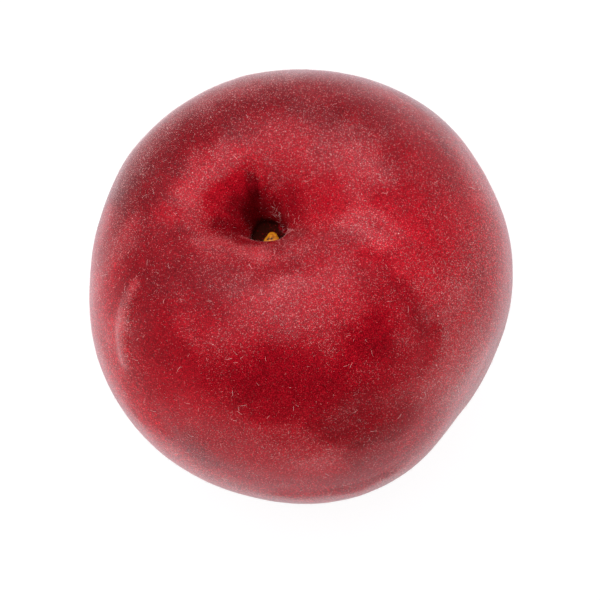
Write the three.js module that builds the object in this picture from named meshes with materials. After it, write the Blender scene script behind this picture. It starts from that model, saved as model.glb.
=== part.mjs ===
// A pluot as picked: one round, lopsided stone fruit with a deep stem cavity and a shallow
// suture, and the short corky end of the stalk left on the cavity's floor.
// Millimetres, +Z up. The fruit stands on a small flat spot beside its blossom end, and the
// origin is on that surface, under the middle of the fruit's box.

import * as THREE from "three";

// Driving dimensions.
const WIDTH = 62; // of the turned outline, across X
const DEPTH = 63.5; // of the turned outline, along Y
const LEAN = 13; // degrees that the stalk's axis leans from upright, towards -X
const CAVITY_OFFSET = 2.1; // how far the cavity sits off the middle, towards -X
const REST_FLAT_DEPTH = 0.35; // how far the weight has pressed the underside flat
const STALK_RADIUS = 1.25;
const STALK_HEIGHT = 0.9;
const STALK_PLACE = { x: 0.4, y: -0.5 }; // its centre, from the middle of the cavity's floor
const FLOOR_GAP = 0.3; // between the stalk's end and the flesh it sits on
const FLOOR_DISH = 0.15; // how much lower the floor's middle is than its rim

// Half outline of the flesh, from the floor of the stem cavity, over its lip, the shoulder
// and the widest girth, to the dimple of the blossom end: distance from the stalk's axis and
// height above the girth.
const CAVITY_FLOOR = 14.6;
const OUTLINE = [
  [0, CAVITY_FLOOR],
  [2.2, CAVITY_FLOOR + FLOOR_DISH],
  [3.0, 16.1],
  [3.4, 18.3],
  [4.1, 20.7],
  [5.2, 22.9],
  [6.9, 24.7],
  [9.2, 25.9],
  [12.8, 26.7],
  [17.0, 26.2],
  [22.0, 23.6],
  [27.0, 17.6],
  [30.2, 9.5],
  [31.0, 1.0],
  [30.0, -8.0],
  [26.8, -16.5],
  [21.0, -23.2],
  [13.5, -27.3],
  [7.6, -29.1],
  [3.6, -29.7],
  [1.4, -29.6],
  [0, -29.3],
];
const OUTLINE_STEPS = 54;
const CAVITY_CROWDING = 0.5; // how much closer the steps are in the cavity than on average
const TURN_STEPS = 72;
const STALK_SIDES = 16;

// The suture runs from the cavity to the blossom end, and swings round as it goes down.
// Azimuths are in degrees round the stalk's axis, from +X towards +Y.
const SUTURE = {
  azimuth: -23,
  swing: -20,
  rim: { depth: 1.5, width: 3.0 },
  flank: { depth: 0.5, width: 5.5 },
};

// Creases in the cavity's wall: the place round the axis, how far out each is deepest and how
// far it reaches from there, its depth and width, and its turn in degrees for each mm inwards.
const CREASES = [
  { azimuth: 103, radius: 4.8, reach: 2.0, depth: 1.1, width: 1.2, twist: 6 },
  { azimuth: 205, radius: 5.0, reach: 2.4, depth: 0.7, width: 1.5, twist: 0 },
  { azimuth: -48, radius: 4.6, reach: 2.6, depth: 0.8, width: 2.4, twist: 0 },
];

// A shallow fold that leaves the suture and runs round the front of the cavity's lip.
const FRONT_FOLD = { azimuth: -85, spread: 62, radius: 11.4, depth: 0.45, width: 2.2 };

// Swellings (+) and hollows (-) of the flesh: where each is centred, as the angle from the
// stalk's axis and the azimuth round it, how far it reaches in degrees, and its height.
const SWELLS = [
  { polar: 116, azimuth: -34, reach: 34, height: -2.1 }, // flat along the lower suture
  { polar: 106, azimuth: 200, reach: 36, height: 1.9 }, // full lower cheek, away from the suture
  { polar: 85, azimuth: 35, reach: 32, height: 0.4 }, // cheek beyond the suture
  { polar: 62, azimuth: 110, reach: 22, height: -0.2 }, // back shoulder
  { polar: 118, azimuth: -115, reach: 24, height: -0.4 }, // under the front
];
const POLE_HOLD = 2.5; // within this distance of the axis the flesh keeps its turned outline

const radians = THREE.MathUtils.degToRad;
const smoothstep = THREE.MathUtils.smoothstep;
const bell = (x) => Math.exp(-x * x);

function direction(polar, azimuth) {
  return new THREE.Vector3(
    Math.sin(polar) * Math.cos(azimuth),
    Math.sin(polar) * Math.sin(azimuth),
    Math.cos(polar),
  );
}

// Signed angle from one azimuth to another, within half a turn either way.
function turnBetween(from, to) {
  return Math.atan2(Math.sin(to - from), Math.cos(to - from));
}

function sutureDepth(polar, azimuth, radius) {
  const share = polar / Math.PI;
  const centre = radians(SUTURE.azimuth + SUTURE.swing * smoothstep(share, 0.12, 0.42));
  const across = turnBetween(centre, azimuth) * radius;
  const down = smoothstep(share, 0.1, 0.4);
  const depth = THREE.MathUtils.lerp(SUTURE.rim.depth, SUTURE.flank.depth, down);
  const width = THREE.MathUtils.lerp(SUTURE.rim.width, SUTURE.flank.width, down);
  return depth * bell(across / width) * smoothstep(share, 0.03, 0.09);
}

function creaseDepth(crease, azimuth, radius) {
  const centre = radians(crease.azimuth + crease.twist * (crease.radius - radius));
  const across = turnBetween(centre, azimuth) * radius;
  const out = (radius - crease.radius) / crease.reach;
  return crease.depth * bell(across / crease.width) * bell(out);
}

function frontFoldDepth(azimuth, radius) {
  const round = turnBetween(radians(FRONT_FOLD.azimuth), azimuth) / radians(FRONT_FOLD.spread);
  const out = (radius - FRONT_FOLD.radius) / FRONT_FOLD.width;
  return FRONT_FOLD.depth * bell(round) * bell(out);
}

// How far the flesh stands out of the turned outline at a point of it.
function relief(point) {
  const polar = Math.acos(point.z / point.length());
  const azimuth = Math.atan2(point.y, point.x);
  const radius = Math.hypot(point.x, point.y);
  const here = point.clone().normalize();
  let height = -sutureDepth(polar, azimuth, radius);
  if (point.z > CAVITY_FLOOR) {
    for (const crease of CREASES) height -= creaseDepth(crease, azimuth, radius);
    height -= frontFoldDepth(azimuth, radius);
  }
  for (const swell of SWELLS) {
    const angle = here.angleTo(direction(radians(swell.polar), radians(swell.azimuth)));
    height += swell.height * bell(angle / radians(swell.reach));
  }
  return height * smoothstep(radius, 0, POLE_HOLD);
}

function turnedOutline() {
  const curve = new THREE.CatmullRomCurve3(
    OUTLINE.map(([radius, height]) => new THREE.Vector3(radius, height, 0)),
    false,
    "centripetal",
  );
  curve.arcLengthDivisions = 1000;
  const points = [];
  for (let i = 0; i <= OUTLINE_STEPS; i++) {
    const t = i / OUTLINE_STEPS;
    const along = (1 - CAVITY_CROWDING) * t + CAVITY_CROWDING * t * t;
    const p = curve.getPointAt(along);
    points.push(new THREE.Vector2(Math.max(p.x, 0), p.y));
  }
  points[0].x = 0;
  points[OUTLINE_STEPS].x = 0;
  return new THREE.LatheGeometry(points.reverse(), TURN_STEPS).rotateX(Math.PI / 2);
}

// The cavity and its lip stand off the middle, and the girth below doesn't.
function cavityShift(point) {
  const polar = THREE.MathUtils.radToDeg(Math.acos(point.z / point.length()));
  return -CAVITY_OFFSET * (1 - smoothstep(polar, 15, 75));
}

function fleshGeometry() {
  const geometry = turnedOutline();
  const position = geometry.getAttribute("position");
  const normal = geometry.getAttribute("normal");
  const point = new THREE.Vector3();
  const outwards = new THREE.Vector3();
  for (let i = 0; i < position.count; i++) {
    point.fromBufferAttribute(position, i);
    outwards.fromBufferAttribute(normal, i);
    const shift = cavityShift(point);
    point.addScaledVector(outwards, relief(point));
    position.setXYZ(i, point.x + shift, point.y, point.z);
  }
  return geometry;
}

function stalkGeometry() {
  const underside = CAVITY_FLOOR + FLOOR_DISH + FLOOR_GAP;
  return new THREE.CylinderGeometry(STALK_RADIUS, STALK_RADIUS, STALK_HEIGHT, STALK_SIDES)
    .rotateX(Math.PI / 2)
    .translate(STALK_PLACE.x - CAVITY_OFFSET, STALK_PLACE.y, underside + STALK_HEIGHT / 2);
}

const flesh = fleshGeometry();
const stalk = stalkGeometry();

// Both lean together, and come down on the surface.
const lean = new THREE.Matrix4().makeRotationY(-radians(LEAN));
flesh.scale(1, DEPTH / WIDTH, 1).applyMatrix4(lean);
stalk.applyMatrix4(lean);
flesh.computeBoundingBox();
const box = flesh.boundingBox;
const middle = box.getCenter(new THREE.Vector3());
const toOrigin = [-middle.x, -middle.y, -box.min.z - REST_FLAT_DEPTH];
flesh.translate(...toOrigin);
stalk.translate(...toOrigin);

const skin = flesh.getAttribute("position");
for (let i = 0; i < skin.count; i++) skin.setZ(i, Math.max(skin.getZ(i), 0));
flesh.computeVertexNormals();

function piece(name, geometry, color, roughness) {
  const mesh = new THREE.Mesh(
    geometry,
    new THREE.MeshStandardMaterial({ color, roughness, metalness: 0 }),
  );
  mesh.name = name;
  return mesh;
}

const pluot = new THREE.Group();
pluot.add(piece("fruit", flesh, 0x8e1420, 0.6));
pluot.add(piece("stalk_end", stalk, 0xc9861c, 0.5));

export default pluot;
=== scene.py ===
"""A pluot as picked, dressed around its CAD solids: velvety crimson skin under short pale hairs,
and the corky amber end of the stalk in the stem cavity. Metres, +Z up."""

import math

import bmesh
import bpy
import numpy as np
from mathutils import Euler, Matrix, Vector, noise


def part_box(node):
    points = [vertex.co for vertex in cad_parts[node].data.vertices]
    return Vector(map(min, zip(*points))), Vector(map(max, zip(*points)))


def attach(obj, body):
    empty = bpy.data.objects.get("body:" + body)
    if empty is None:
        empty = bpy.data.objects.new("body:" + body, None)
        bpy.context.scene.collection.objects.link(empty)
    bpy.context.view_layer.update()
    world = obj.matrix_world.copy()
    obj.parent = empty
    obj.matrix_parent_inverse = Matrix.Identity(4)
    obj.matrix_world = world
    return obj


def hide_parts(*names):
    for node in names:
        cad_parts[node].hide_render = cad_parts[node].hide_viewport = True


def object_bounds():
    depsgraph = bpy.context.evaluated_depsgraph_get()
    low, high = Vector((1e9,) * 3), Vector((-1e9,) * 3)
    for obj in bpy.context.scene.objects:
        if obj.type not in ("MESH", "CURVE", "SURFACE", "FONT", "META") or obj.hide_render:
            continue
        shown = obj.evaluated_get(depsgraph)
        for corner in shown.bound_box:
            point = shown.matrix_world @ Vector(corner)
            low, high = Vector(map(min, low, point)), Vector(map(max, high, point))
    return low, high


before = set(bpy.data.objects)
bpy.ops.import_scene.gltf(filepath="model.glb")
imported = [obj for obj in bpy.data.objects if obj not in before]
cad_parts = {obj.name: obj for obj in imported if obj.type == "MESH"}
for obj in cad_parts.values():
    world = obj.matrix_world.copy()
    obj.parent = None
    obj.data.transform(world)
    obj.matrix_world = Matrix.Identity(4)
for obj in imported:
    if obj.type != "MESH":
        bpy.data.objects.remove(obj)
CAD_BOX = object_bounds()

MM = 0.001

# The stalk's axis leans from upright towards -X, and the flesh was turned round a core on it.
LEAN = math.radians(13)
STALK_FROM_CORE = Vector((-1.7, -0.5, 15.5)) * MM
UPRIGHT_TO_LEANING = Matrix.Rotation(-LEAN, 4, "Y")


def middle(node):
    """The middle of a CAD node's box."""
    low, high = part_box(node)
    return (low + high) / 2


CORE = middle("stalk_end") - UPRIGHT_TO_LEANING @ STALK_FROM_CORE
TO_WORLD = Matrix.Translation(CORE) @ UPRIGHT_TO_LEANING
TO_CORE = TO_WORLD.inverted()


def towards(polar, azimuth):
    """Unit vector from the core: degrees from the stalk's axis, and degrees round it from +X."""
    p, a = math.radians(polar), math.radians(azimuth)
    return Vector((math.sin(p) * math.cos(a), math.sin(p) * math.sin(a), math.cos(p)))


# ---------------------------------------------------------------- node building


class Wire:
    """One output of a node tree. Arithmetic on it adds Math nodes."""

    def __init__(self, nodes, socket):
        self.nodes = nodes
        self.socket = socket

    def other(self, key):
        """Another output of the same node."""
        return Wire(self.nodes, self.nodes.find(self.socket.node.outputs, key))

    def math(self, operation, *values):
        settings = {"operation": operation}
        return self.nodes.add("ShaderNodeMath", settings, dict(enumerate(values)))

    def __add__(self, other):
        return self.math("ADD", self, other)

    __radd__ = __add__

    def __sub__(self, other):
        return self.math("SUBTRACT", self, other)

    def __rsub__(self, other):
        return self.math("SUBTRACT", other, self)

    def __mul__(self, other):
        return self.math("MULTIPLY", self, other)

    __rmul__ = __mul__


class Nodes:
    """Adds nodes to one tree."""

    def __init__(self, tree):
        self.tree = tree
        tree.nodes.clear()

    def add(self, kind, settings=None, inputs=None, output=0):
        """Makes a node, sets its settings, then its sockets, and returns one of its outputs."""
        node = self.tree.nodes.new(kind)
        for name, value in (settings or {}).items():
            setattr(node, name, value)
        for key, value in (inputs or {}).items():
            socket = self.find(node.inputs, key)
            if isinstance(value, Wire):
                self.tree.links.new(value.socket, socket)
            else:
                socket.default_value = value
        return Wire(self, self.find(node.outputs, output)) if len(node.outputs) else node

    @staticmethod
    def find(sockets, key):
        """A socket by its number, its identifier or its name."""
        if isinstance(key, int):
            return sockets[key]
        return next((s for s in sockets if s.identifier == key), None) or sockets[key]

    def ramp(self, value, low, high, to_low=0.0, to_high=1.0):
        """Smooth step of value from to_low at low to to_high at high."""
        span = {"From Min": low, "From Max": high, "To Min": to_low, "To Max": to_high}
        return self.add(
            "ShaderNodeMapRange", {"interpolation_type": "SMOOTHSTEP"}, {"Value": value} | span
        )

    def mix(self, factor, a, b):
        return self.add(
            "ShaderNodeMix",
            {"data_type": "RGBA"},
            {"Factor_Float": factor, "A_Color": a, "B_Color": b},
            output="Result_Color",
        )

    def noise(self, vector, size, detail=2.0, roughness=0.5):
        """Noise whose blobs are about as large as size, in metres."""
        return self.add(
            "ShaderNodeTexNoise",
            None,
            {"Vector": vector, "Scale": 0.5 / size, "Detail": detail, "Roughness": roughness},
        )


def color(red, green, blue):
    return (red, green, blue, 1.0)


WHITE = color(1, 1, 1)


def material(name):
    """A new material, and its nodes to build it with."""
    made = bpy.data.materials.new(name)
    made.use_nodes = True
    return made, Nodes(made.node_tree)


# ---------------------------------------------------------------- painting the skin

# Everything painted on the skin is a stroke: the value it paints, how many degrees wide it is
# on each side, how many degrees it fades over, and the places (polar, azimuth) it runs through.
# A later stroke covers the earlier ones.

# The red strokes paint the skin's own colour together with painted light and shade.
REDNESS_AND_PAINTED_LIGHT = [  # 1 is the usual crimson, less is darker, more is brighter: partly the skin's own colour, partly painted light and shade
    (1.10, 14, 14, [(62, -165), (76, -130), (88, -90)]),
    (0.58, 12, 4, [(52, 38), (50, 60), (46, 90), (46, 120), (46, 150), (47, 170)]),
    (0.62, 2.5, 3, [(28, 60), (29, 73), (28, 100), (29, 130), (31, 155), (34, 168)]),
    (0.48, 2, 3, [(34, 56), (33, 73), (32, 88), (31, 110), (33, 125), (33, 150), (39, 168)]),
    (0.60, 2, 3, [(35, 57), (37, 70)]),
    (0.84, 7, 5, [(44, 22), (48, 8)]),
    (0.95, 3, 4, [(54, 0), (59, 9), (66, 11)]),
    (0.86, 1.5, 3, [(53, 9), (48, -4)]),
    (0.72, 4, 4, [(30, 178), (38, -166), (44, -142), (45, -128)]),
    (0.60, 1.5, 3, [(31, 167), (35, 174), (38, 177)]),
    (0.54, 3, 3.5, [(37, -156), (34, -144), (34, -129)]),
    (0.62, 2.5, 3.5, [(31, -121), (32, -111)]),
    (0.66, 2.5, 3.5, [(27, -155), (24, -130), (25, -100), (22, -78)]),
    (0.84, 2.5, 4, [(48, -126), (49, -138)]),
    (1.00, 4, 3, [(50, 176), (56, -178), (62, -172)]),
    (0.80, 2, 2.5, [(47, -175), (52, -167)]),
    # these two strokes paint a highlight along the ridge on the left flank
    (1.06, 0.4, 1.0, [(41, -151), (45, -149)]),
    (1.08, 0.7, 1.4, [(49, -148), (54, -147), (57, -145), (61, -143)]),
    # brighter red low on the front-left flank: painted light from below
    (1.34, 4, 5, [(73, -148), (78, -134), (88, -126), (96, -112)]),
    (1.10, 4, 5, [(60, -119), (66, -110)]),
    (0.86, 2, 3, [(74, -119), (83, -116)]),
    (1.26, 4, 5, [(79, -98), (81, -87), (80, -80)]),
    (0.86, 3, 4, [(98, -82), (89, -74)]),
    (1.20, 1.5, 2.5, [(73, -52), (77, -50)]),
    (0.80, 3, 4, [(45, -90), (50, -94), (58, -93)]),
    (0.78, 3, 4, [(49, -81), (57, -86), (55, -77)]),
    (0.82, 2.5, 3.5, [(62, -78), (69, -75)]),
    (0.70, 2, 3, [(77, -70), (79, -64)]),
    (0.92, 2, 3, [(75, -60), (72, -60)]),
    (0.77, 2.5, 3, [(47, -57), (51, -59), (54, -57)]),
    (0.78, 1, 2, [(54, -39), (58, -41)]),
    (0.84, 1.5, 2.5, [(45, -37), (50, -37)]),
    (0.94, 2.5, 3.5, [(38, -110), (48, -104)]),
    (1.10, 3, 3.5, [(39, -73), (39, -59), (46, -70)]),
    (1.24, 1.5, 2.5, [(27, -21), (30, -18), (34, -16), (42, -15)]),
    (1.16, 9, 5, [(54, -14), (64, -24), (76, -28), (88, -36)]),
    (1.42, 1.5, 2.5, [(43, -30), (48, -30), (55, -32)]),
    (1.34, 0.8, 1.8, [(36, -28), (38, -26)]),
    (1.14, 3, 5, [(66, 42), (69, 20)]),
    (1.12, 1.5, 3, [(86, -62), (87, -58)]),
    (0.86, 1, 2.5, [(61, -68), (68, -68)]),
    (0.88, 1.5, 2.5, [(17, -50), (21, -52), (24, -46), (26, -36)]),
    (0.88, 1, 2, [(35, -43), (43, -47)]),
    (0.92, 1.5, 2.5, [(21, 40), (20, 14)]),
    (1.10, 2, 3, [(21, -172), (26, -177)]),
    (1.22, 4, 6, [(100, -135), (100, -110), (102, -70), (96, -50)]),
    (1.26, 5, 6, [(70, 6), (80, -14), (82, -36), (88, -42)]),
    (1.15, 2.5, 4, [(58, -165), (66, -154)]),
    (0.86, 2, 3, [(22, 60), (23, 90)]),
    (0.72, 1, 2, [(27, 82), (26, 97)]),
    (1.12, 2.0, 2.4, [(17, 108), (20, 122), (23, 146), (24, 165)]),
    (0.60, 8, 12, [(66, 45), (68, 90), (66, 140)]),
    (0.66, 6, 12, [(84, 95), (96, 120)]),
    (1.18, 8, 12, [(92, 25), (104, 50)]),
    (1.15, 7, 12, [(96, 165), (88, -178)]),
    (0.74, 6, 11, [(118, 90), (126, 30), (122, 0)]),
    (0.80, 6, 11, [(120, -112), (128, -70)]),
    (0.78, 6, 10, [(124, 170), (128, -160)]),
    (0.70, 4, 10, [(165, 0), (165, 120), (165, -120)]),
    (0.40, 0.8, 1.5, [(178, 0)]),
]

REDNESS_AND_LIGHT_TOUCHES = [  # times the values above, partly the skin's own colour, partly painted light and shade
    (0.84, 4, 5, [(24, 50), (30, 38), (36, 27), (39, 17)]),
    (0.88, 3, 4, [(42, -143), (47, -127), (53, -108), (52, -97)]),
    (0.83, 4, 4, [(40, 170), (33, 175), (30, -173), (27, -164)]),
    (0.87, 2, 3, [(91, -52), (96, -60), (98, -71), (98, -81)]),
    (0.88, 2, 3, [(42, -24), (46, -33), (53, -35), (58, -39)]),
    (1.22, 1, 2.5, [(50, 49), (52, 40), (54, 34), (60, 27)]),
    (1.18, 1.5, 2.5, [(24, -147), (21, -137), (22, -106), (20, -82)]),
    (0.87, 2, 2.5, [(26, -30), (23, -39), (23, -52), (23, -60)]),
    (0.90, 3, 3, [(66, -68), (68, -73), (71, -77), (70, -80)]),
    (0.88, 1.5, 2.5, [(29, 81), (27, 90), (27, 99), (22, 116)]),
    (0.88, 3, 3, [(51, 2), (48, -1), (44, -3), (41, -3)]),
    (0.91, 2.5, 3, [(47, -64), (48, -67), (51, -74), (51, -81)]),
    # painted highlight on the same ridge on the left flank
    (1.18, 2, 3, [(54, -150), (58, -150), (60, -148)]),
    (0.91, 3, 3, [(65, -10), (64, -14), (66, -19)]),
    (0.89, 1.5, 2.5, [(29, -139), (29, -130), (28, -123), (26, -117)]),
    (1.20, 1.5, 2.5, [(37, -128), (39, -124), (41, -121)]),
    (0.80, 1.5, 2.5, [(35, -112), (37, -111), (39, -114)]),
    (1.16, 1.5, 2.5, [(39, -175), (43, -169), (47, -167)]),
    (0.87, 1.5, 2.5, [(79, -125), (82, -122), (84, -120)]),
    (1.17, 1.5, 2.5, [(61, -88), (63, -96)]),
    (0.90, 1.5, 2.5, [(37, -77), (45, -77)]),
    (0.91, 2, 2.5, [(17, 46), (15, 44), (13, 33)]),
    (1.17, 1, 2, [(89, -29), (91, -37), (94, -40)]),
    (0.92, 1.5, 2, [(74, -57), (83, -63), (87, -67)]),
    (1.03, 2, 3, [(42, -160), (35, -161)]),
    (1.04, 2, 3, [(43, -112), (44, -97)]),
    (1.02, 2.5, 3.5, [(46, -85), (57, -86)]),
    (0.98, 2, 3, [(45, 14), (43, 6), (40, -6)]),
    (0.71, 2, 3, [(30, 44), (37, 34)]),
    (0.70, 1.5, 2.5, [(31, -179), (28, -172)]),
    (1.13, 2, 2.5, [(70, -38), (69, -42), (72, -44)]),
    (1.04, 1.5, 2.5, [(12, 80), (11, 74)]),
    (1.05, 1.5, 2, [(77, -67), (76, -73)]),
    (1.00, 1, 2, [(42, -38), (45, -40), (48, -43)]),
    (1.38, 1, 2, [(51, 52), (52, 43), (57, 36)]),
    (0.92, 1, 2, [(27, 103), (26, 114)]),
    (1.00, 1.5, 2, [(28, 22), (32, 20)]),
    (1.12, 1, 2, [(39, 96), (39, 115)]),
    (1.00, 1.5, 2, [(30, -114), (32, -106)]),
    (0.98, 1, 2, [(50, -160), (52, -156)]),
    (0.96, 1, 2, [(38, 157), (41, 162)]),
    (1.08, 2, 2.5, [(57, -121), (63, -118)]),
    (1.12, 2, 2.5, [(81, -85), (86, -82)]),
    (0.80, 1, 2, [(50, -102), (54, -101)]),
    (1.10, 1.5, 2, [(63, -26), (67, -29)]),
    (1.05, 1, 1.5, [(47, -52), (48, -56)]),
    (1.10, 1, 2, [(39, -20), (45, -20)]),
    (1.10, 1, 1.5, [(54, -63), (57, -60)]),
    (0.90, 3, 4, [(67, -137), (58, -131), (55, -124)]),
    (0.85, 1, 2, [(50, -157), (52, -157)]),
    (1.12, 1.5, 2, [(19, 115), (18, 128)]),
    (0.86, 1, 2, [(26, 143), (27, 160)]),
    (0.87, 1, 2, [(75, -78), (79, -75)]),
    (1.12, 1, 1.5, [(11, 27), (12, 0)]),
    (1.15, 0.8, 1.5, [(25, -24)]),
    (0.82, 1.5, 2.5, [(25, -176), (28, -174), (31, -166)]),
    (1.12, 1.5, 2, [(21, 148), (22, 170)]),
    (1.12, 1, 2, [(20, 56), (19, 76)]),
    (0.88, 1, 2, [(32, -9), (37, -11)]),
    (0.78, 1, 2.5, [(102, -68), (99, -82)]),
]

BLOOM_AND_PAINTED_SHEEN = [  # 1 is the usual pale bloom; the strokes are partly real bloom, partly painted sheen and highlights
    (0.36, 6, 5, [(36, -152), (37, -130), (46, -136)]),
    (0.12, 4, 4, [(47, -128), (51, -121), (57, -112)]),
    (0.10, 5, 4, [(46, -90), (51, -96), (56, -86), (60, -76)]),
    (0.00, 3, 3, [(49, -54), (52, -60), (56, -69)]),
    (0.10, 3, 3, [(61, -92), (65, -82), (69, -73)]),
    (0.30, 3, 4, [(74, -75), (76, -64), (82, -60)]),
    (0.32, 2.5, 3, [(45, -38), (54, -41), (61, -42)]),
    (0.15, 1.5, 2.5, [(36, -37), (38, -36)]),
    (0.12, 2, 2.5, [(33, -9), (40, -5)]),
    (0.25, 2.5, 3, [(20, -8), (18, 8), (20, 22)]),
    (0.55, 2.5, 3, [(29, 90), (28, 112), (29, 134), (30, 151), (31, 164), (32, 178)]),
    (0.30, 1.5, 2.5, [(40, -160), (45, -160), (51, -158)]),
    (2.2, 4, 4, [(44, 88), (42, 110), (39, 130), (42, 157)]),
    (1.8, 2, 2.5, [(38, -172), (42, -171)]),
    (1.4, 2, 2.5, [(20, -165), (22, 178), (24, 170)]),
    (1.5, 2, 2.5, [(24, 150), (22, 126)]),
    (2.0, 1.5, 2, [(18, 104), (16, 94)]),
    (2.5, 1.4, 1.8, [(21, -150), (19, -132), (17, -114), (17, -98)]),
    (1.35, 1.2, 2, [(28, -104), (28, -90), (29, -74), (31, -65), (30, -58), (34, -54)]),
    (1.9, 2, 3, [(31, 38), (29, 30)]),
    (1.9, 2, 3, [(30, 20), (28, 15), (32, 9)]),
    # these three strokes paint the highlight along the ridge on the left flank
    (1.9, 0.3, 1.0, [(41, -151), (45, -149)]),
    (1.9, 0.5, 1.4, [(48, -148), (51, -148)]),
    (3.4, 0.8, 1.5, [(52, -147), (54, -147), (57, -145), (61, -143)]),
    # strokes along the suture's ridges: real bloom, with a painted highlight on them
    (1.8, 0.5, 1.4, [(23, -25), (27, -21), (35, -17), (40, -20)]),
    (0.60, 1, 2, [(13, -23), (20, -25)]),
    (1.7, 1, 1.5, [(27, -27), (30, -27), (37, -28)]),
    (0.60, 1.5, 2, [(41, -29), (49, -32)]),
    (1.4, 4, 4, [(48, -23), (54, -26), (60, -28), (66, -31)]),
    (2.6, 0.8, 1.4, [(50, -33), (54, -34), (58, -37)]),
    (2.7, 1.0, 1.6, [(58, -28), (62, -27), (62, -33)]),
    (2.2, 1.5, 2, [(66, -38), (70, -44), (75, -53)]),
    (1.9, 5, 4, [(74, -36), (82, -40), (88, -36)]),
    (1.5, 2.5, 3, [(80, -87), (81, -82)]),
    (0.62, 2, 4, [(44, 20), (50, 14), (50, -8), (50, -16)]),
    (0.60, 1.5, 3, [(36, 54), (41, 44), (47, 38)]),
    (0.35, 4, 5, [(53, -131), (60, -129), (70, -128)]),
    (0.95, 2.5, 4, [(64, -106), (69, -95), (72, -82), (72, -70)]),
    (1.5, 1.5, 2.5, [(31, -80), (39, -84)]),
    (0.7, 1.5, 2.5, [(41, -90), (43, -97)]),
    (0.6, 1.2, 2, [(41, -125), (42, -114)]),
    (0.35, 1, 1.5, [(57, -67), (57, -62)]),
    (0.30, 2, 3, [(64, -48), (60, -55), (62, -61)]),
    (0.60, 1, 1.5, [(37, -39), (48, -44), (54, -46)]),
    (0.65, 1, 1.5, [(40, -50), (45, -48)]),
    (0.65, 1, 2, [(27, -56), (26, -64), (25, -92)]),
    (0.60, 1.5, 2.5, [(47, -156), (58, -161)]),
    (0.35, 3, 4, [(38, -8), (42, -14)]),
    (0.6, 3, 5, [(50, 8), (58, 0)]),
    (1.0, 1.2, 2, [(16, 30), (17, 70)]),
    (1.5, 2, 3, [(22, 46), (23, 25)]),
    (1.2, 2, 3, [(22, 60), (22, 105)]),
    # painted sheen along the top-left rim
    (4.5, 2.5, 4, [(60, 85), (58, 105), (55, 125), (56, 145)]),
    (0.5, 5, 6, [(91, -59), (93, -79), (88, -99), (79, -117)]),
    (1.5, 8, 12, [(76, 60), (88, 95)]),
    (0.35, 8, 12, [(98, 150), (108, 120)]),
    (0.35, 7, 12, [(98, 15), (112, 40)]),
    (1.4, 8, 14, [(132, -150), (134, -60), (132, 20)]),
]

BLOOM_AND_SHEEN_TOUCHES = [  # times the values above, partly real bloom, partly painted sheen and highlights
    (0.30, 4, 4, [(57, -101), (52, -95), (51, -88), (51, -77)]),
    (0.42, 5, 5, [(52, -126), (57, -131), (67, -137), (73, -135)]),
    (0.35, 2.5, 3, [(69, -70), (70, -76), (66, -79)]),
    (0.48, 2.5, 3, [(36, 158), (32, 150), (31, 131), (27, 130)]),
    (0.65, 2, 3, [(45, -156), (49, -157), (55, -158)]),
    (0.68, 2, 3, [(51, 16), (45, 18), (39, 16)]),
    (0.40, 1.2, 2.5, [(102, -72), (102, -80), (100, -90), (94, -104)]),
    (1.45, 2, 3, [(81, -89), (80, -83)]),
    (3.0, 1.5, 2.5, [(64, -75), (62, -72)]),
    (1.9, 1.5, 2.5, [(58, -50), (61, -52)]),
    (1.6, 2, 2.5, [(8, -40), (9, -51), (15, -62), (19, -64)]),
    (1.4, 1, 1.5, [(17, 127), (17, 145)]),
    (0.68, 2, 2.5, [(34, 46), (35, 38)]),
    (0.60, 2, 2.5, [(62, -112), (63, -108)]),
    (1.8, 1.3, 1.8, [(16, 12), (17, 2)]),
    (0.68, 1.5, 2, [(32, 169), (31, 178)]),
    (1.8, 1, 2, [(42, -112), (42, -117)]),
    (0.60, 1.5, 2, [(73, -56), (76, -54)]),
    (1.5, 1, 2, [(78, -63), (81, -69)]),
    (1.4, 1, 1.5, [(17, -118), (20, -91)]),
    (0.60, 1, 2, [(48, -35), (51, -35)]),
    (2.0, 1, 1.5, [(55, -65), (58, -62)]),
    (1.4, 1.0, 2, [(23, -5), (23, -11)]),
    (1.3, 1, 2, [(42, 86), (40, 93), (41, 108)]),
    (1.25, 1.5, 2.5, [(40, -73), (43, -71), (47, -69)]),
    (1.2, 1.5, 2.5, [(26, 167), (22, 176), (18, -178)]),
    (0.80, 1.5, 2, [(28, 155), (31, 170)]),
    (1.0, 1.5, 2, [(46, -104), (42, -98)]),
    (0.33, 1.5, 2.5, [(43, -91), (48, -90), (52, -96)]),
    (1.1, 1.5, 2, [(39, -87), (42, -84)]),
    (0.70, 1.5, 2, [(27, -173), (34, -172)]),
    (1.5, 1.5, 2, [(41, -11), (42, -21)]),
    (1.4, 1, 2, [(29, -72), (30, -80)]),
    (1.15, 0.8, 1.5, [(43, -150), (46, -149), (51, -148)]),
    (0.70, 1, 2, [(37, -110), (39, -115)]),
    (1.15, 1.2, 1.5, [(23, 117), (22, 130)]),
    (0.70, 1.2, 2, [(41, -25), (47, -28)]),
    (0.45, 1.2, 2, [(46, -157), (53, -157)]),
    (0.80, 1, 2, [(57, -103), (55, -106)]),
    (0.60, 1, 1.6, [(68, -73), (68, -77)]),
    (0.80, 1, 2, [(57, -118), (52, -115)]),
    (0.65, 1, 1.5, [(35, -31), (39, -34)]),
    (1.35, 1, 1.5, [(33, -131), (37, -138)]),
    (1.30, 1, 1.5, [(40, -41), (42, -44)]),
    (1.0, 1, 2, [(43, 159), (40, 157)]),
    (1.3, 1, 1.5, [(49, -145), (55, -141)]),
    (1.35, 1, 1.5, [(32, -92), (37, -95)]),
    (0.70, 0.8, 1.2, [(39, -156), (43, -154)]),
    (0.65, 1, 2, [(87, -108), (92, -103)]),
    (1.35, 0.8, 1.2, [(39, -20), (43, -21)]),
    (1.45, 0.4, 1.2, [(29.5, -25), (32, -25)]),
    (1.2, 0.5, 1.2, [(33.5, -25), (38, -26)]),
    (1.4, 0.8, 1.2, [(25, -33)]),
]

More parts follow.
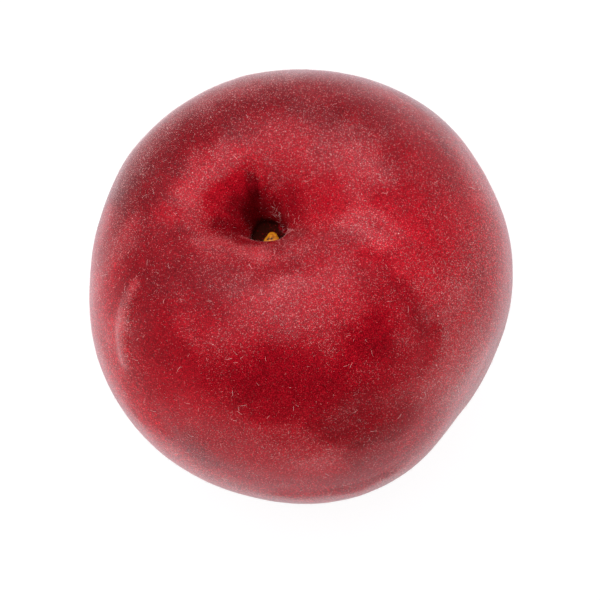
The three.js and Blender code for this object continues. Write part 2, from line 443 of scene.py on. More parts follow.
TUFTS = [  # 1 is the usual scatter of long hairs
    (0.4, 6, 4, [(46, -90), (54, -86), (62, -76)]),
    (7, 0.6, 0.8, [(45, -46), (48, -45)]),
    (6, 0.8, 0.8, [(42, -61), (45, -60)]),
    (6, 0.7, 0.8, [(45, -70), (46, -69)]),
    (5, 0.4, 0.8, [(57, -63), (54, -67)]),
    (6, 0.5, 0.8, [(46, -116), (47, -111)]),
    (6, 1.0, 0.9, [(44, -104), (46, -102)]),
    (6, 0.5, 0.8, [(55, -104), (58, -102)]),
    (5, 0.6, 0.8, [(63, -73), (64, -68)]),
    (6, 0.5, 0.8, [(81, -72), (80, -70)]),
    (2.5, 5, 5, [(49, -24), (58, -29), (68, -42), (76, -44)]),
    (2.2, 4, 4, [(40, -144), (46, -150), (60, -150)]),
]

VELVET = [  # 1 is the full pale velvet that shows along the flanks
    (0.0, 18, 6, [(0, 0)]),
    (0.1, 7, 6, [(50, -100), (54, -80), (50, -56)]),
    (0.1, 5, 6, [(62, -88), (72, -70)]),
    (0.5, 4, 6, [(52, -126), (57, -131), (67, -136), (73, -134)]),
    (0.6, 1.5, 3, [(102, -70), (102, -80), (98, -98)]),
]

FLANK = [  # 1 is the rougher, dustier skin down the flanks
    (0.05, 34, 22, [(0, 0)]),
    (0.05, 13, 10, [(58, -105), (72, -85), (60, -50)]),
]

RELIEF = [  # 0 is the CAD's surface, in millimetres
    (0.28, 0.5, 1.2, [(19, -29), (23, -23), (26, -19), (30, -19), (34, -19), (39, -20), (45, -21)]),
    (0.24, 0.5, 1.2, [(28, -28), (36, -27), (42, -27), (48, -30), (53, -33), (56, -34), (65, -40)]),
    (-0.18, 1.5, 2.2, [(44, -36), (51, -39), (59, -41), (65, -44), (68, -49)]),
    (0.26, 0.8, 1.6, [(44, -149), (50, -148), (54, -147), (57, -145), (61, -143)]),
    (0.40, 6, 11, [(46, 110), (46, 140)]),
    (-0.40, 4, 10, [(74, 22)]),
    (-0.35, 4, 10, [(102, -28)]),
    (0.25, 4, 10, [(76, -157)]),
]

# Inside the stem cavity the places are (millimetres from the pit's middle, degrees round it), and
# the widths are millimetres too.

CAVITY_PAINTED_SHADE = [  # times the skin's red: painted shade on the cavity's walls, deepest along its crease and towards the pit
    (0.92, 2.0, 1.5, [(6.2, 125), (6.5, 155)]),
    (0.86, 1.0, 1.2, [(4.4, 30), (4.6, 70)]),
    (0.70, 1.0, 1.5, [(5.2, -30), (5.4, 10)]),
    (0.55, 0.5, 0.9, [(4.2, 140), (4.2, 165)]),
    (0.50, 0.5, 0.8, [(6.2, 192), (5.4, 194), (4.4, 198)]),
    (0.46, 0.50, 0.45, [(6.0, 102), (5.6, 103), (4.9, 108)]),
    (0.24, 0.45, 0.5, [(4.4, 107), (4.0, 112), (3.6, 117)]),
    (0.60, 0.2, 0.4, [(4.4, 87), (3.8, 90)]),
    (0.32, 0.4, 0.5, [(3.4, 126), (3.4, 146)]),
    (0.50, 0.2, 0.5, [(3.2, 95), (3.4, 100)]),
    (0.70, 0.3, 0.6, [(3.2, 50), (3.4, 74)]),
    (0.56, 0.5, 0.7, [(5.6, -150), (5.2, -120), (5.2, -80), (5.4, -50)]),
    (0.68, 0.8, 1.2, [(7.6, -42), (7.8, -64)]),
]

CAVITY_BLOOM_AND_SHADE = [  # times the skin's bloom: mostly less, as painted shade on the cavity's crease, walls and lip
    (0.05, 1.4, 0.9, [(5.4, 124), (5.8, 150)]),
    (0.05, 0.5, 0.5, [(5.7, 96), (4.6, 105), (3.2, 130)]),
    (0.20, 1.5, 1.0, [(5.5, 168), (5.2, 185)]),
    (0.35, 0.9, 0.9, [(4.2, 30), (4.4, 80)]),
    (0.30, 1.0, 1.0, [(4.9, -12), (5.6, 15)]),
    (0.40, 0.4, 0.7, [(5.6, -150), (5.2, -120), (5.2, -80), (5.4, -50)]),
    (0.50, 0.5, 0.6, [(6.6, 87), (5.8, 82)]),
    (1.5, 0.4, 0.6, [(5.4, 60), (5.2, 68)]),
]

CAVITY_PIT = [  # times the pit's painted shade
    (0.0, 0.2, 0.35, [(2.8, 25), (2.7, 62)]),
]

CAVITY_TUFTS = [  # times the skin's own
    (0.1, 4.0, 1.0, [(4.0, 120), (4.0, 180)]),
    (60, 0.15, 0.3, [(2.5, 42), (2.6, 44), (2.7, 64)]),
    (60, 0.2, 0.3, [(5.0, -42), (4.7, -30), (5.7, -21)]),
]

WANDER = 0.75  # share of its fade by which noise moves a stroke's edges
WANDER_SEED = 1  # without one, the noise differs from run to run
WANDER_SIZE = 3.5 * MM


def on_sphere(polar, azimuth):
    """A place on the skin, on a sphere measured in degrees."""
    return np.degrees(towards(polar, azimuth))


def in_cavity(out, azimuth):
    """A place in the cavity, in the plane across the stalk's axis."""
    a = math.radians(azimuth)
    return np.array((out * math.cos(a), out * math.sin(a)))


NO_LENGTH = 1e-9  # keeps a line of one corner from dividing by nothing


def line_distance(points, corners):
    """How far each point is from a line drawn through the corners, or from the only corner."""
    nearest = np.full(len(points), math.inf)
    for start, end in zip(corners, corners[1:] or corners):
        along = end - start
        share = np.clip((points - start) @ along / max(along @ along, NO_LENGTH), 0, 1)
        gap = points - start - share[:, None] * along
        nearest = np.minimum(nearest, np.linalg.norm(gap, axis=1))
    return nearest


def smooth(values, low, high):
    """Smooth step from 0 at low to 1 at high."""
    t = np.clip((values - low) / (high - low), 0, 1)
    return t * t * (3 - 2 * t)


def painted(points, strokes, place=on_sphere, ground=1.0, wander=0.0):
    """The strokes laid over each other on their ground."""
    layer = np.full(len(points), ground)
    for value, width, fade, places in strokes:
        moved = points + WANDER * fade * wander
        beyond = line_distance(moved, [place(*p) for p in places]) - width
        layer += (value - layer) * np.exp(-((np.maximum(beyond, 0) / fade) ** 2))
    return layer


def vertex_places(mesh):
    """Every vertex of a mesh, a row each."""
    places = np.zeros(len(mesh.vertices) * 3)
    mesh.vertices.foreach_get("co", places)
    return places.reshape(-1, 3)


def carried(places, matrix):
    """The places, turned and moved by a matrix."""
    turn = np.array(matrix)
    return places @ turn[:3, :3].T + turn[:3, 3]


def in_core_frame(places):
    return carried(places, TO_CORE)


def directions(places):
    """Directions from the core, on a sphere measured in degrees."""
    return np.degrees(places / np.linalg.norm(places, axis=1)[:, None])


PIT_FLOOR = 15 * MM  # above the core
PIT_MIDDLE = np.array((-1.6, -0.3)) * MM

NARROWING = {
    "share": 0.24,  # of a wall's distance from the middle by which it is drawn in
    "foot": 2 * MM,  # height over the pit's floor at which it is full
    "fade_up": (20 * MM, 25 * MM),  # heights above the core over which it dies out
    "fade_out": (6 * MM, 9 * MM),  # distances from the middle over which it dies out
}


def narrow_pit(mesh):
    """Draws the walls of the stem cavity's foot in round the stalk's end."""
    places = in_core_frame(vertex_places(mesh))
    out = places[:, :2] - PIT_MIDDLE
    height = places[:, 2]
    foot = smooth(height, PIT_FLOOR, PIT_FLOOR + NARROWING["foot"])
    walls = foot * (1 - smooth(height, *NARROWING["fade_up"]))
    inside = 1 - smooth(np.linalg.norm(out, axis=1), *NARROWING["fade_out"])
    places[:, :2] -= out * (NARROWING["share"] * walls * inside)[:, None]
    mesh.vertices.foreach_set("co", carried(places, TO_WORLD).ravel())
    mesh.update()


SOFTENING = {
    "rounds": 12,
    "factor": 0.5,
    "clearance": 0.5 * MM,  # over the pit's floor, which stays as it is
    "reach": 9 * MM,  # from the cavity's middle
}


def soften_cavity(mesh):
    """Rounds the folds of the cavity's wall."""
    places = in_core_frame(vertex_places(mesh))
    out = np.linalg.norm(places[:, :2] - PIT_MIDDLE, axis=1)
    above_floor = places[:, 2] > PIT_FLOOR + SOFTENING["clearance"]
    shell = bmesh.new()
    shell.from_mesh(mesh)
    shell.verts.ensure_lookup_table()
    wall = [shell.verts[i] for i in np.flatnonzero(above_floor & (out < SOFTENING["reach"]))]
    every_way = {"use_axis_x": True, "use_axis_y": True, "use_axis_z": True}
    for _ in range(SOFTENING["rounds"]):
        bmesh.ops.smooth_vert(shell, verts=wall, factor=SOFTENING["factor"], **every_way)
    shell.to_mesh(mesh)
    shell.free()


CAVITY_EDGE = (8, 11)  # millimetres from its middle over which the cavity's paint gives way
PIT_SHADE = (0.4 * MM, 3.6 * MM)  # heights over its floor over which the pit's painted shade lifts
ROUGH_BLOOM = (0.15, 1.2)  # least and most bloom that roughens the flanks

# How dusty bare skin, bloom and the flanks are, what share of the first the cavity is without,
# and between which amounts of bloom the other two follow it.
DUST = {"bare": 0.05, "bloom": 0.25, "flank": 0.35}
DUST_CAVITY_LOSS = 0.9
DUST_BLOOM = (0, 2)
DUST_FLANK_BLOOM = (0.3, 1)

# How thick each kind of hair is on bare skin outside the cavity, and at the most.
HAIRS_PER_BLOOM = 0.5
FINE_HAIRS = {"bare": 0.02, "most": 1.2}
MIDDLE_HAIRS = {"bare": 0.10, "most": 1.0}
FINE_PIT_LOSS = 0.8  # share of them that the pit is without
MIDDLE_CAVITY_LOSS = 0.7  # and that the whole cavity is without


def layers(places):
    """What is painted on the skin at places in the core's frame."""
    noise.seed_set(WANDER_SEED)
    wander = np.array([noise.noise_vector(Vector(p) / WANDER_SIZE) for p in places])
    points = directions(places)
    out = (places[:, :2] - PIT_MIDDLE) / MM
    height = places[:, 2]
    inside = (1 - smooth(np.linalg.norm(out, axis=1), *CAVITY_EDGE)) * (height > 0)
    # The pit is painted shade: darkest at its floor, lifting with height.
    dark, light = PIT_SHADE
    pit = inside * (1 - smooth(height, PIT_FLOOR + dark, PIT_FLOOR + light))
    pit *= painted(out, CAVITY_PIT, in_cavity)

    def layer(skin_strokes, cavity_strokes=()):
        in_pit = painted(out, cavity_strokes, in_cavity, wander=wander[:, :2])
        return painted(points, skin_strokes, wander=wander) * (1 + (in_pit - 1) * inside)

    bloom = layer(BLOOM_AND_PAINTED_SHEEN, CAVITY_BLOOM_AND_SHADE) * layer(BLOOM_AND_SHEEN_TOUCHES)
    flank = layer(FLANK)

    def hairs(bare, most):
        return np.clip(bare * (1 - inside) + HAIRS_PER_BLOOM * bloom, 0, most)

    bare_dust = DUST["bare"] * (1 - DUST_CAVITY_LOSS * inside)
    bloom_dust = DUST["bloom"] * np.clip(bloom, *DUST_BLOOM)
    flank_dust = DUST["flank"] * flank * np.clip(bloom, *DUST_FLANK_BLOOM)
    return {
        # the red and bloom layers hold painted light, shade and sheen besides the skin's own colour
        # and bloom
        "redness": layer(REDNESS_AND_PAINTED_LIGHT, CAVITY_PAINTED_SHADE) * layer(REDNESS_AND_LIGHT_TOUCHES),
        "bloom": bloom * (1 - pit),
        "velvet": layer(VELVET),
        "flank": flank,
        "rough": flank * np.clip(bloom, *ROUGH_BLOOM),
        "dusty": bare_dust + bloom_dust + flank_dust,
        "pit": pit,
        "down": hairs(**FINE_HAIRS) * (1 - FINE_PIT_LOSS * pit),
        "strokes": hairs(**MIDDLE_HAIRS) * (1 - pit) * (1 - MIDDLE_CAVITY_LOSS * inside),
        "tufts": layer(TUFTS, CAVITY_TUFTS) * (1 - pit),
    }


def paint(mesh):
    """Writes what is painted on the skin into the mesh, for the materials and the fuzz."""
    for name, values in layers(in_core_frame(vertex_places(mesh))).items():
        mesh.attributes.new(name, "FLOAT", "POINT").data.foreach_set("value", values)


# ---------------------------------------------------------------- finishes

CRIMSON = (0.343, 0.0036, 0.010)
PALE_DOWN = color(1.0, 0.74, 0.66)
# dark brown painted shade for the deep pit
PIT_SHADE_BROWN = color(0.038, 0.007, 0.004)
SHEEN_PINK = color(1.0, 0.93, 0.95)
AMBER = color(0.80, 0.33, 0.008)
CORK_BROWN = color(0.46, 0.12, 0.004)
VESSEL_BROWN = color(0.06, 0.015, 0.004)

FLECKS = {"size": 0.08 * MM, "least": 0.58, "swing": 1.7}  # small cells of darker and lighter red
BLOTCHES = {"size": 0.21 * MM, "swing": 1.1}  # coarser ones, on the flanks
SPECKS = [  # pale dots in the bloom: radius, spacing, strength
    (0.09 * MM, 0.26 * MM, 0.85),
    (0.11 * MM, 0.45 * MM, 0.8),
    (0.11 * MM, 1.1 * MM, 1.9),
]
ROUGH_SPECKS = (0.15 * MM, 0.32 * MM, 0.20)  # the same, of the rougher skin
SPECK_CORE = 0.4  # share of its radius over which a speck is full
GRAIN = 0.06 * MM  # sizes of the skin's noise, the finest first
MOTTLE = 0.7 * MM
CLOUD = 7 * MM
CORK_GRAIN = 0.18 * MM
PIT_RAGGEDNESS = {"size": 0.14 * MM, "swing": 1.8}
BLOOM_COAT = 0.26  # coat weight of the usual bloom


def painted_layer(nodes, name):
    """What is painted on the piece under that name."""
    return nodes.add("ShaderNodeAttribute", {"attribute_name": name}, output="Fac")


def scattered_cells(nodes, place, spacing):
    """Cells about as large as spacing: how far off a cell's middle is, and each cell's chance."""
    cells = nodes.add("ShaderNodeTexVoronoi", None, {"Vector": place, "Scale": 1 / spacing})
    shade = cells.other("Color")
    return cells, nodes.add("ShaderNodeSeparateColor", None, {0: shade}, output="Red")


def specks(nodes, place, radius, spacing, strength):
    """Round dots scattered about as far apart as spacing, most of them faint."""
    cells, chance = scattered_cells(nodes, place, spacing)
    near = radius / spacing
    return nodes.ramp(cells, near, SPECK_CORE * near) * chance * chance * strength


def crimson_with_painted_light(nodes, place, mottle):
    """The skin's red, flecked and mottled, with painted light and shade laid into it."""
    flecks = scattered_cells(nodes, place, FLECKS["size"])[1]
    blotches = scattered_cells(nodes, place, BLOTCHES["size"])[1]
    cloud = nodes.noise(place, CLOUD)
    # the painted layer scales the red by the skin's own colour and by painted light and shade
    depth = (
        painted_layer(nodes, "redness")
        * (FLECKS["least"] + flecks * flecks * flecks * FLECKS["swing"])
        * (1 + painted_layer(nodes, "flank") * (blotches - 0.5) * BLOTCHES["swing"])
        * nodes.ramp(mottle, 0.30, 0.70, to_low=0.97, to_high=1.03)
        * nodes.ramp(cloud, 0.30, 0.70, to_low=0.96, to_high=1.04)
    )
    return nodes.add(
        "ShaderNodeVectorMath", {"operation": "SCALE"}, {0: CRIMSON, "Scale": depth}
    )


def pale_specks(nodes, place):
    """How much of the skin the pale dots cover."""
    fine, wider, rare = [specks(nodes, place, *kind) for kind in SPECKS]
    rough = painted_layer(nodes, "rough") * specks(nodes, place, *ROUGH_SPECKS)
    pale = painted_layer(nodes, "dusty") * (fine + wider + rare) + rough
    return nodes.add("ShaderNodeClamp", None, {0: pale})


def pit_shade_edge(nodes, place):
    """How far the pit's painted shade, in dark brown, covers the skin, with a ragged edge."""
    raggedness = nodes.noise(place, PIT_RAGGEDNESS["size"], detail=1.0) - 0.5
    ragged = painted_layer(nodes, "pit") + raggedness * PIT_RAGGEDNESS["swing"]
    return nodes.ramp(ragged, 0.30, 1.0)


def skin_material():
    """Crimson with painted light and shade, under a thin pale coat and dust that carry painted
    sheen, with a sheen of velvet along the flanks.
    """
    made, nodes = material("velvet_skin")
    place = nodes.add("ShaderNodeTexCoord", output="Object")
    grain = nodes.noise(place, GRAIN, detail=0.0)
    mottle = nodes.noise(place, MOTTLE, detail=3.0, roughness=0.6)
    base = crimson_with_painted_light(nodes, place, mottle)
    base = nodes.mix(pale_specks(nodes, place), base, PALE_DOWN)
    # paints the pit's shade in dark brown
    base = nodes.mix(pit_shade_edge(nodes, place), base, PIT_SHADE_BROWN)
    fine_dust = nodes.ramp(grain, 0.25, 0.75, to_low=0.4, to_high=1.6)
    dust = fine_dust * nodes.ramp(mottle, 0.35, 0.65, to_low=0.88, to_high=1.12)
    # the bloom layer is partly real bloom, partly painted sheen and highlights
    coat = painted_layer(nodes, "bloom") * dust * BLOOM_COAT
    bump = nodes.add(
        "ShaderNodeBump", None, {"Height": grain, "Strength": 0.7, "Distance": 0.05 * MM}
    )
    skin = {
        "Base Color": base,
        "Roughness": 0.55,
        "Specular IOR Level": 0.0,
        "Coat Weight": nodes.add("ShaderNodeClamp", None, {0: coat}),
        "Coat Roughness": 0.38,
        "Normal": bump,
    }
    sheen = {"Sheen Weight": 0.66, "Sheen Roughness": 0.35, "Sheen Tint": SHEEN_PINK}
    bare = nodes.add("ShaderNodeBsdfPrincipled", None, skin)
    downy = nodes.add("ShaderNodeBsdfPrincipled", None, skin | sheen)
    velvet = painted_layer(nodes, "velvet")
    both = nodes.add("ShaderNodeMixShader", None, {0: velvet, 1: bare, 2: downy})
    nodes.add("ShaderNodeOutputMaterial", None, {"Surface": both})
    return made


def fuzz_material():
    """The pale hairs' own finish."""
    made, nodes = material("pale_fuzz")
    shader = nodes.add(
        "ShaderNodeBsdfPrincipled",
        None,
        {"Base Color": PALE_DOWN, "Roughness": 0.40, "Specular IOR Level": 0.5},
    )
    nodes.add("ShaderNodeOutputMaterial", None, {"Surface": shader})
    return made


def cork_material():
    """Amber cork with browner patches and the dark marks of its vessels."""
    made, nodes = material("corky_stalk")
    place = nodes.add("ShaderNodeTexCoord", output="Object")
    grain = nodes.noise(place, CORK_GRAIN, detail=3.0, roughness=0.6)
    tone = nodes.mix(nodes.ramp(grain, 0.3, 0.7), AMBER, CORK_BROWN)
    tone = nodes.mix(painted_layer(nodes, "vessels"), tone, VESSEL_BROWN)
    shader = nodes.add(
        "ShaderNodeBsdfPrincipled",
        None,
        {"Base Color": tone, "Roughness": 0.5, "Specular IOR Level": 0.25},
    )
    nodes.add("ShaderNodeOutputMaterial", None, {"Surface": shader})
    return made


# ---------------------------------------------------------------- pieces


def object_from(name, mesh, finish=None):
    """A new object of the scene, at the origin."""
    made = bpy.data.objects.new(name, mesh)
    bpy.context.scene.collection.objects.link(made)
    if finish is not None:
        mesh.materials.clear()
        mesh.materials.append(finish)
    return made


def settled(piece):
    """The piece with its modifiers worked into a plain mesh."""
    bpy.context.view_layer.update()
    evaluated = piece.evaluated_get(bpy.context.evaluated_depsgraph_get())
    mesh = bpy.data.meshes.new_from_object(evaluated)
    piece.modifiers.clear()
    piece.data = mesh
    return piece


SKIN_LEVELS = 2
WELD = 0.001 * MM  # corners of the CAD's facets that are nearer than this are one
QUAD_ANGLE = math.radians(40)


def fruit_skin(finish):
    """The CAD fruit's own surface, its facets joined and rounded."""
    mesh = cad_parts["fruit"].data.copy()
    shell = bmesh.new()
    shell.from_mesh(mesh)
    bmesh.ops.remove_doubles(shell, verts=shell.verts, dist=WELD)
    limits = {"angle_face_threshold": QUAD_ANGLE, "angle_shape_threshold": QUAD_ANGLE}
    bmesh.ops.join_triangles(shell, faces=shell.faces, **limits)
    shell.to_mesh(mesh)
    shell.free()
    skin = object_from("fruit_skin", mesh, finish)
    rounding = skin.modifiers.new("rounding", "SUBSURF")
    rounding.levels = rounding.render_levels = SKIN_LEVELS
    settled(skin)
    narrow_pit(skin.data)
    soften_cavity(skin.data)
    undulate(skin.data)
    skin.data.polygons.foreach_set("use_smooth", [True] * len(skin.data.polygons))
    return skin


UNDULATIONS = [(4.5 * MM, 0.05 * MM), (1.7 * MM, 0.02 * MM)]  # size of a swell, its height


def undulate(mesh):
    """Raises the relief and the low swells out of the skin, and lets none of it into the floor."""
    places = vertex_places(mesh)
    normals = np.zeros(len(mesh.vertices) * 3)
    mesh.vertex_normals.foreach_get("vector", normals)
    normals = normals.reshape(-1, 3)
    height = painted(directions(in_core_frame(places)), RELIEF, ground=0.0) * MM
    for size, rise in UNDULATIONS:
        height += rise * np.array([noise.noise(Vector(p) / size) for p in places])
    places += normals * height[:, None]
    places[:, 2] = np.maximum(places[:, 2], 0.0)
    mesh.vertices.foreach_set("co", places.ravel())
    mesh.update()


STALK = {
    "radius": 1.12 * MM,
    "corners": (0.12, 85),  # how much three corners stand out of the round, and where the first is
    "rise": 0.35 * MM,  # of the face's middle over its edge
    "edge": 0.12,  # share of the radius over which the edge is rounded off
    "edge_drop": 0.12 * MM,  # of the rounded edge
    "bumps": (0.30 * MM, 0.07 * MM),  # size and height of the face's bumps
    "depth": 1.7 * MM,  # from the face's edge down to the pit's floor
    "lift": Vector((0.05, 0.10, 0.56)) * MM,  # of the face from the CAD piece's middle
}
STALK_FACE_RINGS = 14
STALK_SIDE_RINGS = [(1.02, 0.4), (1.0, 1.0)]  # share of the radius, and of the depth
STALK_SIDES = 48

VESSELS = [  # dark marks on the stalk's face, in millimetres from its middle
    (1.0, 0.07, 0.10, [(-0.50, -0.16), (-0.34, -0.12)]),
    (1.0, 0.07, 0.10, [(0.02, -0.18), (0.14, -0.14)]),
    (0.6, 0.02, 0.06, [(-0.34, 0.10), (-0.20, 0.14)]),
    (0.5, 0.02, 0.06, [(0.26, -0.02), (0.44, 0.00)]),
]


def face_height(x, y, share):
    """How high the broken face is at a place, at a share of the radius from its middle."""
    rounded = max(share - 1 + STALK["edge"], 0) / STALK["edge"]
    size, rise = STALK["bumps"]
    z = STALK["rise"] * (1 - share * share) - STALK["edge_drop"] * min(rounded, 1) ** 2
    return z + rise * noise.noise(Vector((x, y, 0)) / size)


def peg_ring(peg, share, level=None):
    """A ring of corners at a share of the radius, on the face unless a level is given."""
    ring = []
    stand, first = STALK["corners"]
    for s in range(STALK_SIDES):
        a = 2 * math.pi * s / STALK_SIDES
        outline = 1 + stand * math.cos(3 * (a - math.radians(first)))
        reach = STALK["radius"] * outline * share
        x, y = reach * math.cos(a), reach * math.sin(a)
        z = face_height(x, y, share) if level is None else level
        ring.append(peg.verts.new((x, y, z)))
    return ring


def stalk_end(finish):
    """The corky peg that stays where the stalk broke off: a rounded triangle with a low dome."""
    peg = bmesh.new()
    shares = [(i + 1) / STALK_FACE_RINGS for i in range(STALK_FACE_RINGS)]
    rows = [peg_ring(peg, share) for share in shares]
    rows += [peg_ring(peg, share, -down * STALK["depth"]) for share, down in STALK_SIDE_RINGS]
    top = peg.verts.new((0, 0, STALK["rise"]))
    for s in range(STALK_SIDES):
        n = (s + 1) % STALK_SIDES
        peg.faces.new((top, rows[0][s], rows[0][n]))
        for high, low in zip(rows, rows[1:]):
            peg.faces.new((high[s], low[s], low[n], high[n]))
    peg.faces.new(list(reversed(rows[-1])))
    bmesh.ops.recalc_face_normals(peg, faces=peg.faces)
    mesh = bpy.data.meshes.new("stalk_end_peg")
    peg.to_mesh(mesh)
    peg.free()
    marks = painted(vertex_places(mesh)[:, :2] / MM, VESSELS, lambda *p: np.array(p), ground=0.0)
    mesh.attributes.new("vessels", "FLOAT", "POINT").data.foreach_set("value", marks)
    lift = Matrix.Translation(STALK["lift"])
    mesh.transform(Matrix.Translation(middle("stalk_end")) @ UPRIGHT_TO_LEANING @ lift)
    mesh.polygons.foreach_set("use_smooth", [True] * len(mesh.polygons))
    return object_from("stalk_end_peg", mesh, finish)


# ---------------------------------------------------------------- fuzz


HAIR_SIDES = 3
HAIR_TAPER = 0.35  # share of its thickness that a hair loses before its last step to the tip


def hair_object(name, length, thickness, curl, steps):
    """One closed, tapered hair rooted at the origin: it rises along +Z and curls towards +X."""
    hair = bmesh.new()
    arc = length / curl
    rows = []
    for step in range(steps):
        t = step / steps
        bend = curl * t
        centre = Vector((arc * (1 - math.cos(bend)), 0, arc * math.sin(bend)))
        across = Vector((math.cos(bend), 0, -math.sin(bend)))
        radius = thickness / 2 * (1 - HAIR_TAPER * t)
        row = []
        for s in range(HAIR_SIDES):
            a = 2 * math.pi * s / HAIR_SIDES
            out = across * math.cos(a) + Vector((0, math.sin(a), 0))
            row.append(hair.verts.new(centre + radius * out))
        rows.append(row)
    tip = hair.verts.new((arc * (1 - math.cos(curl)), 0, arc * math.sin(curl)))
    hair.faces.new(list(reversed(rows[0])))
    for s in range(HAIR_SIDES):
        n = (s + 1) % HAIR_SIDES
        for low, high in zip(rows, rows[1:]):
            hair.faces.new((low[s], low[n], high[n], high[s]))
        hair.faces.new((rows[-1][s], rows[-1][n], tip))
    mesh = bpy.data.meshes.new(name)
    hair.to_mesh(mesh)
    hair.free()
    return object_from(name, mesh)


def fuzz_tree(finish):
    """Geometry nodes that scatter a hair over a surface, each one turned and tilted at random."""
    tree = bpy.data.node_groups.new("fuzz", "GeometryNodeTree")
    face = tree.interface
    face.new_socket("Geometry", in_out="INPUT", socket_type="NodeSocketGeometry")
    face.new_socket("Hair", in_out="INPUT", socket_type="NodeSocketObject")
    for name in ("Density", "Tilt least", "Tilt most", "Size least", "Size most", "Clear below"):
        face.new_socket(name, in_out="INPUT", socket_type="NodeSocketFloat")
    face.new_socket("Seed", in_out="INPUT", socket_type="NodeSocketInt")
    face.new_socket("Cover", in_out="INPUT", socket_type="NodeSocketString")
    face.new_socket("Geometry", in_out="OUTPUT", socket_type="NodeSocketGeometry")
    nodes = Nodes(tree)
    take = nodes.add("NodeGroupInput").other
    height = nodes.add(
        "ShaderNodeSeparateXYZ", None, {0: nodes.add("GeometryNodeInputPosition")}, output="Z"
    )
    clear = height.math("GREATER_THAN", height, take("Clear below"))
    cover = nodes.add(
        "GeometryNodeInputNamedAttribute",
        {"data_type": "FLOAT"},
        {"Name": take("Cover")},
        output="Attribute",
    )
    points = nodes.add(
        "GeometryNodeDistributePointsOnFaces",
        {"distribute_method": "RANDOM"},
        {
            "Mesh": take("Geometry"),
            "Density": take("Density") * cover * clear,
            "Seed": take("Seed"),
        },
        output="Points",
    )
    facing = points.other("Rotation")

    def random(low, high, step):
        """A random number for each hair, with the step added to the seed."""
        return nodes.add(
            "FunctionNodeRandomValue",
            {"data_type": "FLOAT"},
            {"Min_001": low, "Max_001": high, "Seed": take("Seed") + step},
            output="Value_001",
        )

    spin = nodes.add("ShaderNodeCombineXYZ", None, {"Z": random(0.0, 2 * math.pi, 1)})
    tilt = nodes.add(
        "ShaderNodeCombineXYZ", None, {"Y": random(take("Tilt least"), take("Tilt most"), 2)}
    )
    for turn in (spin, tilt):
        turned = nodes.add("FunctionNodeEulerToRotation", None, {0: turn})
        facing = nodes.add(
            "FunctionNodeRotateRotation", {"rotation_space": "LOCAL"}, {0: facing, 1: turned}
        )
    hair = nodes.add("GeometryNodeObjectInfo", None, {"Object": take("Hair")}, output="Geometry")
    grown = nodes.add(
        "GeometryNodeInstanceOnPoints",
        None,
        {
            "Points": points,
            "Instance": hair,
            "Rotation": facing,
            "Scale": random(take("Size least"), take("Size most"), 3),
        },
    )
    real = nodes.add("GeometryNodeRealizeInstances", None, {0: grown})
    dressed = nodes.add("GeometryNodeSetMaterial", None, {"Geometry": real, "Material": finish})
    nodes.add("NodeGroupOutput", None, {0: dressed})
    return tree


def grow_fuzz(name, skin, tree, sizes):
    """A plain mesh of the hairs that the tree scatters over the skin."""
    fuzz = object_from(name, skin.data.copy())
    modifier = fuzz.modifiers.new("fuzz", "NODES")
    modifier.node_group = tree
    named = {s.name: s.identifier for s in tree.interface.items_tree if s.in_out == "INPUT"}
    for key, value in sizes.items():
        modifier[named[key]] = value
    return settled(fuzz)


ROOT_CLEARANCE = 1.2 * MM  # no hair grows lower, so none reaches into the floor

# Each kind of hair: its length, its thickness, its curl in degrees and the steps of its mesh; how
# many grow on a square metre where its layer is 1; how far they tilt, in degrees, and how long
# they are, as a share of the length; the layer that they follow; and a seed for each piece.
HAIRS = {
    "fine": {
        "hair": (0.16 * MM, 0.016 * MM, 20, 1),
        "density": 4.6e6,
        "tilts": (20, 80),
        "sizes": (0.6, 1.4),
        "layer": "down",
        "seeds": {"fuzz_fine_0": 11, "fuzz_fine_1": 21, "fuzz_fine_2": 31},
    },
    "middle": {
        "hair": (0.28 * MM, 0.020 * MM, 15, 1),
        "density": 0.5e6,
        "tilts": (40, 82),
        "sizes": (0.3, 1.5),
        "layer": "strokes",
        "seeds": {"fuzz_middle": 5},
    },
    "long": {
        "hair": (0.80 * MM, 0.023 * MM, 55, 4),
        "density": 0.045e6,
        "tilts": (35, 62),
        "sizes": (0.5, 1.4),
        "layer": "tufts",
        "seeds": {"fuzz_long": 7},
    },
}


def all_fuzz(skin):
    """Every piece of fuzz, each kind of hair in as many pieces as it has seeds."""
    tree = fuzz_tree(fuzz_material())
    pieces = []
    for kind, grown in HAIRS.items():
        length, thickness, curl, steps = grown["hair"]
        hair = hair_object(f"{kind}_hair", length, thickness, math.radians(curl), steps)
        for name, seed in grown["seeds"].items():
            sizes = {
                "Hair": hair,
                "Density": grown["density"],
                "Tilt least": math.radians(grown["tilts"][0]),
                "Tilt most": math.radians(grown["tilts"][1]),
                "Size least": grown["sizes"][0],
                "Size most": grown["sizes"][1],
                "Clear below": ROOT_CLEARANCE,
                "Seed": seed,
                "Cover": grown["layer"],
            }
            pieces.append(grow_fuzz(name, skin, tree, sizes))
        bpy.data.objects.remove(hair)
    return pieces


# ---------------------------------------------------------------- studio


SOFTBOX = {"towards": (-0.24, 0.08, 0.967), "radius": 46, "edge": 8, "strength": 2.1}
WALLS = {
    "heights": (0.20, 0.50),  # share of straight up over which they dim
    "strengths": (0.8, 0.25),  # below and above those
    "front": (-0.75, -0.35),  # share of straight ahead, -Y, over which they end
}
STUDIO_TINT = color(1, 0.97, 1.06)


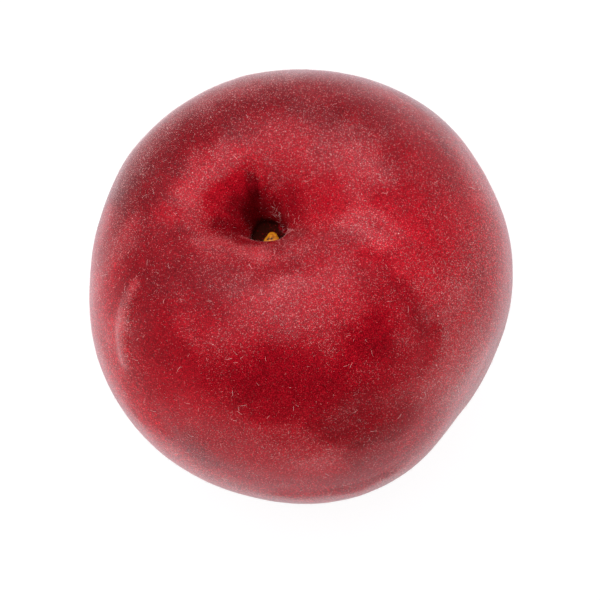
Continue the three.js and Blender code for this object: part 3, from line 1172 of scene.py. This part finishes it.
def world_light():
    """A broad softbox overhead, pale walls round the back and sides, and none in front."""
    world = bpy.data.worlds.new("studio_dome")
    bpy.context.scene.world = world
    world.use_nodes = True
    nodes = Nodes(world.node_tree)
    direction = nodes.add("ShaderNodeTexCoord", output="Generated")
    height = nodes.add("ShaderNodeSeparateXYZ", None, {0: direction}, output="Z")
    back = nodes.add("ShaderNodeSeparateXYZ", None, {0: direction}, output="Y")
    to_box = nodes.add(
        "ShaderNodeVectorMath",
        {"operation": "DOT_PRODUCT"},
        {0: direction, 1: SOFTBOX["towards"]},
        output="Value",
    )
    outer = math.cos(math.radians(SOFTBOX["radius"] + SOFTBOX["edge"]))
    inner = math.cos(math.radians(SOFTBOX["radius"] - SOFTBOX["edge"]))
    box = nodes.ramp(to_box, outer, inner, 0.0, SOFTBOX["strength"])
    lit = nodes.ramp(height, *WALLS["heights"], *WALLS["strengths"])
    walls = lit * nodes.ramp(back, *WALLS["front"])
    seen = nodes.add("ShaderNodeLightPath", output="Is Camera Ray")
    strength = (box + walls) * (1 - seen) + seen
    tint = nodes.mix(seen, STUDIO_TINT, WHITE)
    light = nodes.add("ShaderNodeBackground", None, {"Color": tint, "Strength": strength})
    nodes.add("ShaderNodeOutputWorld", None, {"Surface": light})


FLOOR_REACH = 3.0
FLOOR_GREY = color(0.12, 0.12, 0.12)
FLOOR_GLOW = 0.93


def pale_floor():
    """A wide matt floor that glows a little, so that only a faint shadow shows on it."""
    mesh = bpy.data.meshes.new("floor")
    far = FLOOR_REACH
    corners = [(-far, -far, 0), (far, -far, 0), (far, far, 0), (-far, far, 0)]
    mesh.from_pydata(corners, [], [(0, 1, 2, 3)])
    made, nodes = material("pale_floor")
    matt = nodes.add("ShaderNodeBsdfDiffuse", None, {"Color": FLOOR_GREY})
    glow = nodes.add("ShaderNodeEmission", None, {"Color": WHITE, "Strength": FLOOR_GLOW})
    both = nodes.add("ShaderNodeAddShader", None, {0: matt, 1: glow})
    nodes.add("ShaderNodeOutputMaterial", None, {"Surface": both})
    floor = object_from("floor", mesh, made)


CAMERA_ELEVATION = math.radians(60)
CAMERA_LENS = 140  # millimetres, as is the sensor's width
CAMERA_SENSOR = 36
CAMERA_DISTANCE = 0.3472
AIM_RIGHT = -0.29 * MM  # the fruit stands a little right of the middle of the view
AIM_UP = -1.24 * MM  # and a little above it


def camera():
    """Looks down at the fruit from the front."""
    data = bpy.data.cameras.new("camera")
    data.lens = CAMERA_LENS
    data.sensor_width = CAMERA_SENSOR
    view = bpy.data.objects.new("camera", data)
    bpy.context.scene.collection.objects.link(view)
    low, high = CAD_BOX
    e = CAMERA_ELEVATION
    back = Vector((0, -math.cos(e), math.sin(e)))
    up = Vector((0, math.sin(e), math.cos(e)))
    aim = (low + high) / 2 + Vector((AIM_RIGHT, 0, 0)) + up * AIM_UP
    view.location = aim + back * CAMERA_DISTANCE
    view.rotation_euler = Euler((math.pi / 2 - e, 0, 0))
    bpy.context.scene.camera = view


# ---------------------------------------------------------------- the scene

skin = fruit_skin(skin_material())
paint(skin.data)
stalk = stalk_end(cork_material())
fuzz = all_fuzz(skin)

for piece, slot in [(skin, "skin"), (stalk, "stalk"), *((f, "skin") for f in fuzz)]:
    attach(piece, "root")
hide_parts("fruit")
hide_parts("stalk_end")

camera()
world_light()
pale_floor()
bpy.context.scene.view_settings.view_transform = "Standard"
